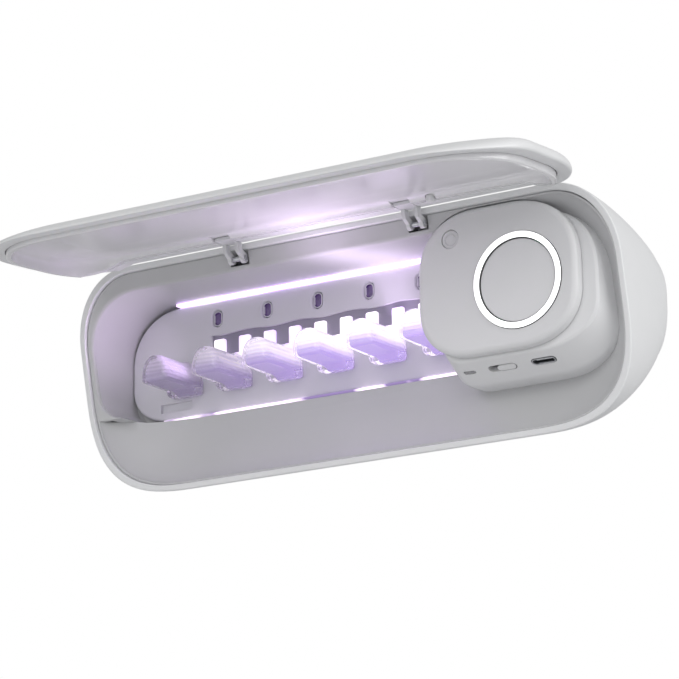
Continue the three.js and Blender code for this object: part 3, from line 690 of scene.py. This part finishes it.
# ---- Control housing ----
# The body of the control unit, moulded in the shell's white. Its underside slopes towards the user and
# carries three openings: a status light, the mode switch and the charging socket.
SLOPE, PORT_Y, PORT_Z = math.radians(61.5), RIM_Y + 1.9, -18.05
FACE_Y = RIM_Y - 7.5
RING_X, RING_Z, RING_R, RING_IN = 77.3, 9.9, 17.5, 15.3


def slope_ring(half_w, half_h, x, y, steps=8):
    r = half_h - 0.01
    xz = rounded_outline(-half_w, half_w, -half_h, half_h, [(r, r, 2)] * 4, steps)
    return np.column_stack([x + xz[:, 0], y * math.cos(SLOPE) - xz[:, 1] * math.sin(SLOPE) + PORT_Y,
                            y * math.sin(SLOPE) + xz[:, 1] * math.cos(SLOPE) + PORT_Z])


housing = base_block(0, 0, 0)
housing.name = "control_housing"
hollow = skin("cutter", [flat_ring(base_outline(*s, i + 1.9), RIM_Y + y + back) for (y, s, i), back in
                         zip(BASE, (1.6, 1.9, 2.2, 1.8, 1.6, 1.6, 1, 3))])
carve(housing, [hollow, block(0, 200, RIM_Y + 20, 0, -50, 50),
                rod_y("cutter", RING_X, RING_Z, 4, RIM_Y - 6, RIM_Y + 2)]
      + [skin("cutter", [slope_ring(w, h, x, y) for y in (-6, 6)])
         for w, h, x in ((5.7, 1.65, 65.1), (4.95, 1.75, 81.6), (2.5, 0.85, 51.7))])
soften(housing, 0.22)
control_white = moulded_plastic("control_white", (0.78, 0.782, 0.79), (0.76, 0.762, 0.77), 0.4,
                                grain=6000, relief=0.02)
fit(housing, "case", "control_plastic", ["control_base"], control_white)

# ---- Control front ----
# A soft-edged cap over the housing, the same white with a finer satin. It has one large hole for the
# ring and button and one for the sensor; it snaps over the housing's front edge.
SENSOR_X, SENSOR_Z = 50.4, 29.2
edge_turn = np.linspace(0, math.pi / 2, 14)
front_cap = stacked("control_front", cover_outline,
                    [(1.9 * (1 - math.cos(a)), 2.4 * (1 - math.sin(a))) for a in edge_turn] + [(4.2, 0)],
                    FACE_Y)
carve(front_cap, [skin("cutter", [flat_ring(cover_outline(1.8), FACE_Y + y) for y in (1.8, 6)]),
                  rod_y("cutter", RING_X, RING_Z, RING_R + 0.2, FACE_Y - 2, FACE_Y + 6, 128),
                  rod_y("cutter", SENSOR_X, SENSOR_Z, 3.55, FACE_Y - 2, FACE_Y + 6, 64)])
soften(front_cap, 0.1)
cap_satin = moulded_plastic("cap_satin", (0.74, 0.742, 0.75), (0.72, 0.722, 0.73), 0.45,
                            grain=8000, relief=0.015)
fit(front_cap, "case", "control_plastic", ["control_cover"], cap_satin)

# ---- Light ring ----
# A milky acrylic ring, lit from the small board behind it, that stands just proud of the cap. Its front
# glows; its inner and outer walls are painted dark grey as painted shade, so a thin dark line of shade shows
# round the light.


def turned(name, x, z, profile, steps=128):
    a = np.linspace(0, 2 * math.pi, steps, endpoint=False)
    n = len(profile)
    points = [(x + r * math.cos(t), y, z + r * math.sin(t)) for t in a for r, y in profile]
    faces = [(k * n + i, k * n + (i + 1) % n, (k + 1) % steps * n + (i + 1) % n, (k + 1) % steps * n + i)
             for k in range(steps) for i in range(n)]
    return add_piece(name, points, faces)


halo = turned("ring_diffuser", RING_X, RING_Z, [
    (RING_IN, FACE_Y + 2.9), (RING_R, FACE_Y + 2.9), (RING_R, FACE_Y - 0.4), (RING_R - 0.04, FACE_Y - 0.47),
    (RING_R - 0.14, FACE_Y - 0.5), (RING_IN + 0.14, FACE_Y - 0.5),
    (RING_IN + 0.04, FACE_Y - 0.47), (RING_IN, FACE_Y - 0.4)])
soften(halo)
ring_glow = lit_plastic("ring_glow", (1, 1, 1), (0.97, 0.98, 1), 1.25, patches=40)
# Painted shade: dark grey on the ring's side walls stands in for the shaded gap round the ring.
ring_wall_painted_shade = moulded_plastic("ring_wall_painted_shade", (0.20, 0.20, 0.205), (0.17, 0.17, 0.175), 0.4, relief=0.005)
fit(halo, "case", "ring_light", ["light_ring"], ring_glow, ring_wall_painted_shade)
# The side-wall faces take the dark grey painted shade.
for face in halo.data.polygons:
    face.material_index = int(abs(face.normal.y) < 0.5)

# ---- Round button ----
# A flat disc with a small radius and a short stem that pushes the switch behind it. It travels 0.8 mm
# inside the ring and is moulded in the cap's plastic.


def stepped_disc(name, x, z, profile, steps=112):
    a = np.linspace(0, 2 * math.pi, steps, endpoint=False)
    return stacked(name, lambda r: np.column_stack([x + r * np.cos(a), z + r * np.sin(a)]),
                   [(y, r) for r, y in profile])


button = stepped_disc("round_button", RING_X, RING_Z, [
    (9, FACE_Y + 0.02), (14.6, FACE_Y), (14.78, FACE_Y + 0.03), (14.92, FACE_Y + 0.13), (14.99, FACE_Y + 0.3),
    (15, FACE_Y + 0.5), (15, FACE_Y + 2), (8.2, FACE_Y + 2.02), (8.2, FACE_Y + 2.9), (2.4, FACE_Y + 2.92),
    (2.4, RIM_Y - 1.7)])
soften(button)
button_satin = moulded_plastic("button_satin", (0.77, 0.772, 0.78), (0.75, 0.752, 0.76), 0.5,
                               grain=9000, relief=0.012, cloud=18)
fit(button, "button", "control_plastic", ["power_button"], button_satin)

# ---- Sensor window ----
# A round smoked window flush with the cap, with a shallow ring around the receiver behind it.
window = stepped_disc("sensor_window", SENSOR_X, SENSOR_Z, [
    (r, FACE_Y + y) for r, y in (
        (3.4, 3.4), (3.4, 0.55), (3.33, 0.4), (3.15, 0.35), (2.5, 0.35),
        (2.35, 0.5), (2.1, 0.55), (1.95, 0.42), (1.2, 0.38), (0.4, 0.37))], 64)
soften(window)
smoked = moulded_plastic("smoked_window", (0.70, 0.70, 0.71), (0.65, 0.65, 0.665), 0.18,
                         relief=0.005, coat=0.6)
fit(window, "case", "sensor_window", ["sensor_lens"], smoked)

# ---- Lid cover ----
# The white domed outer half of the lid. Its edge is rolled; its rear wall is low where it passes over
# the case, fades out towards the corners, and is notched for the two hinge forks.
LID_W, LID_L, LID_DROOP = 224, 75.5, 0.061
LID_REAR_Y, LID_SKIRT_Z = RIM_Y - 9.7, 37.4


def eased(points, between=3):
    """More stations along a profile, on a smooth curve through the given ones."""
    p = np.array(points, float)
    p = np.vstack([2 * p[0] - p[1], p, 2 * p[-1] - p[-2]])
    out = []
    for i in range(1, len(p) - 2):
        for t in np.linspace(0, 1, between, endpoint=False):
            out.append(0.5 * (2 * p[i] + (p[i + 1] - p[i - 1]) * t
                              + (2 * p[i - 1] - 5 * p[i] + 4 * p[i + 1] - p[i + 2]) * t ** 2
                              + (3 * p[i] - p[i - 1] - 3 * p[i + 1] + p[i + 2]) * t ** 3))
    return [tuple(q) for q in out] + [tuple(p[-2])]


def lid_place(x, v, up):
    c, s = math.cos(LID_DROOP), math.sin(LID_DROOP)
    x, v, up = np.broadcast_arrays(np.asarray(x, float), np.asarray(v, float), np.asarray(up, float))
    return np.column_stack([x, LID_REAR_Y - v * c - up * s, LID_SKIRT_Z - v * s + up * c])


def smooth_step(u, low, high):
    t = np.clip((u - low) / (high - low), 0, 1)
    return t * t * (3 - 2 * t)


LID_CORNERS = ((35.5, 32), (35.5, 32), (21, 30), (21, 30))


def lid_ring(up, e, steps=26):
    """One outline of the lid; its edge thins towards the front and the left end, up to 24 mm in."""
    xv = rounded_outline(-LID_W / 2 + e, LID_W / 2 - e, e, LID_L - e,
                         [(a - e * 0.85, b - e * 0.85, 2.05) for a, b in LID_CORNERS], steps)
    x, v = xv[:, 0], xv[:, 1]
    thin = np.maximum(smooth_step(v, 46, 74), 0.75 * smooth_step(-x, 60, 108) * smooth_step(v, 10, 34))
    return lid_place(x, v, up * (1 - 0.6 * thin * max(0, 1 - e / 24)))


def lid_block(outline_xw, v0, v1):
    o = np.array(outline_xw, float)
    return skin("cutter", [lid_place(o[:, 0], v, o[:, 1]) for v in (v0, v1)])


def rear_openings(v):
    return [lid_block([(-103, -3), (103, -3), (103, 0), (86, 4.9), (-86, 4.9), (-103, 0)], -1, v)] + [
        lid_block([(x - 3.9, -3), (x + 3.9, -3), (x + 3.9, 6.45), (x - 3.9, 6.45)], -1, v) for x in CLAWS]


dome = skin("lid_dome", [lid_ring(up, e) for up, e in eased([
    (3.1, 0.9), (3.3, 0.4), (3.9, 0), (4.8, 0), (6, 0.4), (7.1, 1.3), (8, 2.9), (8.7, 5.6), (9.1, 9.6),
    (9.3, 16), (9.3, 24)])])
carve(dome, [skin("cutter", [lid_ring(up, e) for up, e in
                             ((2, 4.9), (6.9, 4.9), (7.4, 6), (8, 8), (8, 16), (8, 24))])]
      + rear_openings(5.4))
soften(dome, 0.2)
fit(dome, "lid", "shell_white", ["lid_cover"], shell_white)

# ---- Lid panel ----
# The inner half of the lid: a semi-gloss panel with a raised lip that closes over the tray's band. It
# mirrors the chamber's light softly.
PEG_X, PEG_V = 49.1, 8.2
full_turn = np.linspace(0, 2 * math.pi, 32, endpoint=False)
panel_half = skin("lid_panel", [lid_ring(up, e) for up, e in (
    (0, 5.95), (0.06, 5.7), (0.2, 5.45), (0.45, 5.27), (0.8, 5.2), (6.7, 5.2), (7.2, 6.0), (7.6, 7.4),
    (7.6, 16), (7.6, 24))])
carve(panel_half, [skin("cutter", [lid_ring(up, e) for up, e in eased([
    (-1, 6.7), (0.2, 6.9), (2.4, 7.15), (4.4, 7.6), (5.3, 8.2), (5.9, 9), (6.3, 10), (6.5, 11.4),
    (6.5, 14), (6.5, 17), (6.5, 20), (6.5, 24)])])]
      + rear_openings(13)
      + [skin("cutter", [lid_place(PEG_X + 1.9 * np.cos(full_turn), PEG_V + 1.9 * np.sin(full_turn), up)
                         for up in (-1, 6.45)])])
soften(panel_half, 0.15)
panel_gloss = moulded_plastic("panel_gloss", (0.84, 0.835, 0.85), (0.82, 0.815, 0.835), 0.15,
                              grain=3000, relief=0.003, cloud=14, coat=1.0, spread=0.03)
fit(panel_half, "lid", "liner_plastic", ["lid_liner"], panel_gloss)

# ---- Lid peg ----
# A small round peg under the lid's rear edge that presses the closed-lid switch in the cap.
peg = skin("lid_rear_peg", [
    lid_place(PEG_X + r * np.cos(full_turn), PEG_V + r * np.sin(full_turn), up)
    for up, r in ((3.6, 0.7), (3.63, 1.05), (3.75, 1.35), (3.95, 1.53), (4.2, 1.6), (6.2, 1.6))])
soften(peg)
fit(peg, "lid", "shell_white", ["lid_peg"], shell_white)

# ---- Hinge forks ----
# Two forked claws, moulded in light grey acetal and glued under the lid's rear edge. Each pair of
# prongs turns on a short steel pin held in a slot of the tray's band.
PIVOT_Y, PIVOT_Z = RIM_Y - 7.3, 37.2
claw_grey = moulded_plastic("claw_grey", (0.74, 0.745, 0.755), (0.71, 0.715, 0.725), 0.35,
                            grain=6000, relief=0.01)
prong = [(RIM_Y - 12.4, 43.2), (RIM_Y - 12.4, 40.4), (RIM_Y - 11.6, 38.6), (RIM_Y - 9.3, 37.2)]
prong += [(PIVOT_Y + 1.9 * math.cos(t), PIVOT_Z + 1.9 * math.sin(t))
          for t in map(math.radians, range(190, 421, 10))]
prong += [(RIM_Y - 9.6, 39.9), (RIM_Y - 9.8, 43.2)]
eye = [(PIVOT_Y + 1.05 * math.cos(t), PIVOT_Z + 1.05 * math.sin(t)) for t in full_turn]
for side, x in zip(("left", "right"), CLAWS):
    fork = block(x - 3.4, x + 3.4, RIM_Y - 17.5, RIM_Y - 9.9, 42, 43.2)
    fork.name = f"{side}_hinge_fork"
    carve(fork, [skin("cutter", [[(px, y, z) for y, z in prong] for px in pair])
                 for pair in ((x - 3.4, x - 1.9), (x + 1.9, x + 3.4))], "UNION")
    carve(fork, [skin("cutter", [[(px, y, z) for y, z in eye] for px in (x - 6, x + 6)])])
    soften(fork, 0.22)
    fit(fork, "lid", "claw_plastic", [f"hinge_claw_{side}"], claw_grey)

# ---- Small hardware and boards ----
# Pins, screws, socket shell and push switch are plated steel; the boards are solder-masked glass
# laminate; the cell is wrapped in film. Most of it only shows through the slots and from behind.


def plain_finish(name, low, high, scale, roughness, metallic=0.0, kind="TexNoise", out="Fac", relief=0.01):
    m = bpy.data.materials.new(name)
    m.use_nodes = True
    tree = m.node_tree
    shader = tree.nodes["Principled BSDF"]
    place, pattern, ramp, bump = shader_nodes(tree, "TexCoord", kind, "ValToRGB", "Bump")
    pattern.inputs["Scale"].default_value = scale
    ramp.color_ramp.elements[0].position, ramp.color_ramp.elements[1].position = 0.35, 0.65
    ramp.color_ramp.elements[0].color, ramp.color_ramp.elements[1].color = (*low, 1), (*high, 1)
    bump.inputs["Distance"].default_value = relief * MM
    tree.links.new(place.outputs["Object"], pattern.inputs["Vector"])
    tree.links.new(pattern.outputs[out], ramp.inputs["Fac"])
    tree.links.new(pattern.outputs[out], bump.inputs["Height"])
    tree.links.new(ramp.outputs["Color"], shader.inputs["Base Color"])
    tree.links.new(bump.outputs["Normal"], shader.inputs["Normal"])
    shader.inputs["Roughness"].default_value = roughness
    shader.inputs["Metallic"].default_value = metallic
    return m


steel = plain_finish("plated_steel", (0.55, 0.56, 0.58), (0.66, 0.67, 0.69), 900, 0.28, 1.0)
board = plain_finish("circuit_board", (0.02, 0.13, 0.07), (0.03, 0.20, 0.10), 260, 0.35,
                     kind="TexVoronoi", out="Distance", relief=0.05)
film = plain_finish("cell_film", (0.30, 0.36, 0.45), (0.36, 0.42, 0.52), 60, 0.3, 0.1)
knob = moulded_plastic("knob_white", (0.78, 0.782, 0.79), (0.75, 0.752, 0.76), 0.4)
status = plain_finish("status_window", (0.30, 0.30, 0.31), (0.36, 0.36, 0.37), 500, 0.25)
FINISHES = {
    "hinge_pin_left": steel, "hinge_pin_right": steel, "charging_socket": steel, "button_switch": steel,
    "case_screw_1": steel, "case_screw_2": steel, "case_screw_3": steel, "case_screw_4": steel,
    "uv_board": board, "ring_led_board": board, "main_board": board, "battery_cell": film,
    "mode_switch": knob, "status_light": status}
for node_name, finish in FINISHES.items():
    for place in nodes[node_name].material_slots:
        place.material = finish
